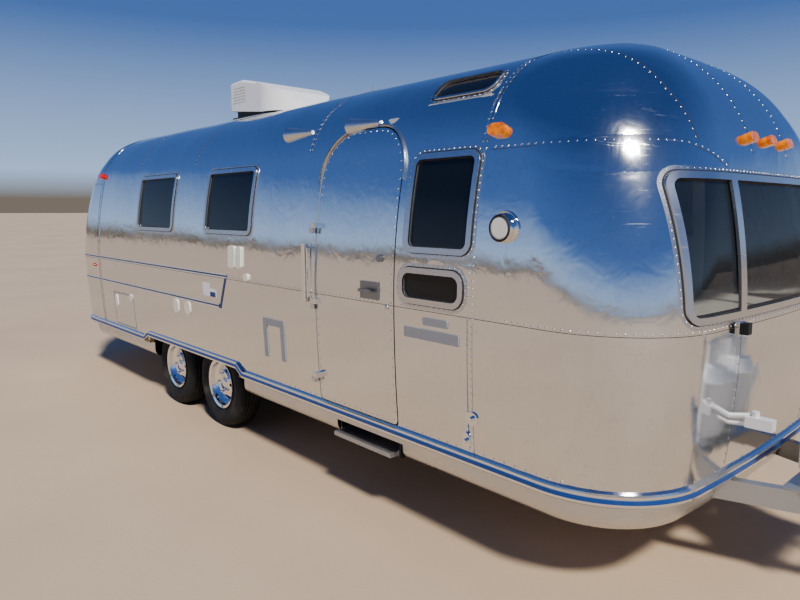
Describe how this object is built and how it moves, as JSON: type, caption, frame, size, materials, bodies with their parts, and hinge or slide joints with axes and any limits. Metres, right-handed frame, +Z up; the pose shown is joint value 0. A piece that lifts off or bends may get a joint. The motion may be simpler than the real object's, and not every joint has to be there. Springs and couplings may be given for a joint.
{
  "type": "travel trailer caravan",
  "caption": "Round-ended riveted aluminium travel trailer on a tandem axle, with a hinged entry door, panoramic nose window, roof air conditioner and A-frame tongue.",
  "frame": {"origin": "on the ground, midway between the rear of the bumper box and the front of the coupler, on the centre line", "axes": "+X forward to the coupler, +Y to the street side away from the entry door, +Z up"},
  "size_m": [8.4469, 2.5059, 2.9599],
  "materials": {
    "skin": "polished",
    "skin_door": "polished",
    "frame_aluminium": "satin",
    "glass": "tinted",
    "rail_aluminium": "satin",
    "blue_insert": "satin",
    "deck": "plain",
    "galvanised": "satin",
    "chassis_paint": "aluminium paint",
    "black_paint": "satin",
    "rim": "polished",
    "tyre": "matt",
    "white_plastic": "gloss",
    "dark_plastic": "matt",
    "amber_lens": "gloss",
    "red_lens": "gloss",
    "bottle": "satin",
    "steel": "satin"
  },
  "bodies": {
    "trailer": {"wall_curb": "skin", "wall_street": "skin", "roof": "skin", "cap_front": "skin", "cap_rear": "skin", "window_frames": "frame_aluminium", "window_panes": "glass", "nose_frame": "frame_aluminium", "tail_frame": "frame_aluminium", "nose_panes": "glass", "tail_pane": "glass", "rub_rail": "rail_aluminium", "rub_insert": "blue_insert", "floor_deck": "deck", "wheel_wells": "galvanised", "belly_pan": "rail_aluminium", "chassis_rails": "chassis_paint", "cross_members": "chassis_paint", "tongue_frame": "chassis_paint", "coupler": "black_paint", "jack_tube": "steel", "bottle_tray": "steel", "gas_bottles": "bottle", "axle_front": "black_paint", "axle_rear": "black_paint", "door_hinges": "frame_aluminium", "grab_handle": "white_plastic", "step_slides": "black_paint", "aircon_base": "white_plastic", "aircon_cover": "white_plastic", "vent_base_front": "white_plastic", "vent_base_rear": "white_plastic", "rear_bumper": "rail_aluminium", "lamps_amber": "amber_lens", "lamps_red": "red_lens", "porch_lamp": "white_plastic", "service_plates": "frame_aluminium", "roof_scoops": "white_plastic", "aerial_bracket": "frame_aluminium", "door_gutter": "frame_aluminium", "white_covers": "white_plastic", "side_inlets": "rim", "trim_stripes": "blue_insert", "nose_shelf": "deck", "nose_bracket": "white_plastic"},
    "door": {"door_panel": "skin_door", "door_latch": "frame_aluminium"},
    "jack_leg_body": {"jack_leg": "steel"},
    "step": {"entry_step": "black_paint"},
    "bumper_cover": {"bumper_lid": "rail_aluminium"},
    "vent_cover_front": {"vent_lid_front": "white_plastic"},
    "vent_cover_rear": {"vent_lid_rear": "white_plastic"},
    "wheel_front_curb": {"rim_front_curb": "rim", "tyre_front_curb": "tyre"},
    "wheel_front_street": {"rim_front_street": "rim", "tyre_front_street": "tyre"},
    "wheel_rear_curb": {"rim_rear_curb": "rim", "tyre_rear_curb": "tyre"},
    "wheel_rear_street": {"rim_rear_street": "rim", "tyre_rear_street": "tyre"}
  },
  "joints": [
    {"name": "door_swing", "type": "hinge", "parent": "trailer", "child": "door", "pos_m": [0.88, -1.233, 1.3], "axis": [0, 0, -1], "range_deg": [0, 100]},
    {"name": "jack_slide", "type": "slide", "parent": "trailer", "child": "jack_leg_body", "axis": [0, 0, 1], "range_m": [-0.1, 0.34]},
    {"name": "step_slide", "type": "slide", "parent": "trailer", "child": "step", "axis": [0, -1, 0], "range_m": [0, 0.2]},
    {"name": "bumper_lid_hinge", "type": "hinge", "parent": "trailer", "child": "bumper_cover", "pos_m": [-4.2279, 0, 0.5089], "axis": [0, -1, 0], "range_deg": [0, 100]},
    {"name": "vent_hinge_front", "type": "hinge", "parent": "trailer", "child": "vent_cover_front", "pos_m": [2.12, 0, 2.62585], "axis": [0, 1, 0], "range_deg": [0, 50]},
    {"name": "vent_hinge_rear", "type": "hinge", "parent": "trailer", "child": "vent_cover_rear", "pos_m": [-2.53, 0, 2.62585], "axis": [0, 1, 0], "range_deg": [0, 50]},
    {"name": "wheel_spin_front_curb", "type": "hinge", "parent": "trailer", "child": "wheel_front_curb", "pos_m": [-0.644, -1.02, 0.352], "axis": [0, 1, 0], "continuous": true},
    {"name": "wheel_spin_front_street", "type": "hinge", "parent": "trailer", "child": "wheel_front_street", "pos_m": [-0.644, 1.02, 0.352], "axis": [0, 1, 0], "continuous": true},
    {"name": "wheel_spin_rear_curb", "type": "hinge", "parent": "trailer", "child": "wheel_rear_curb", "pos_m": [-1.498, -1.02, 0.352], "axis": [0, 1, 0], "continuous": true},
    {"name": "wheel_spin_rear_street", "type": "hinge", "parent": "trailer", "child": "wheel_rear_street", "pos_m": [-1.498, 1.02, 0.352], "axis": [0, 1, 0], "continuous": true}
  ]
}
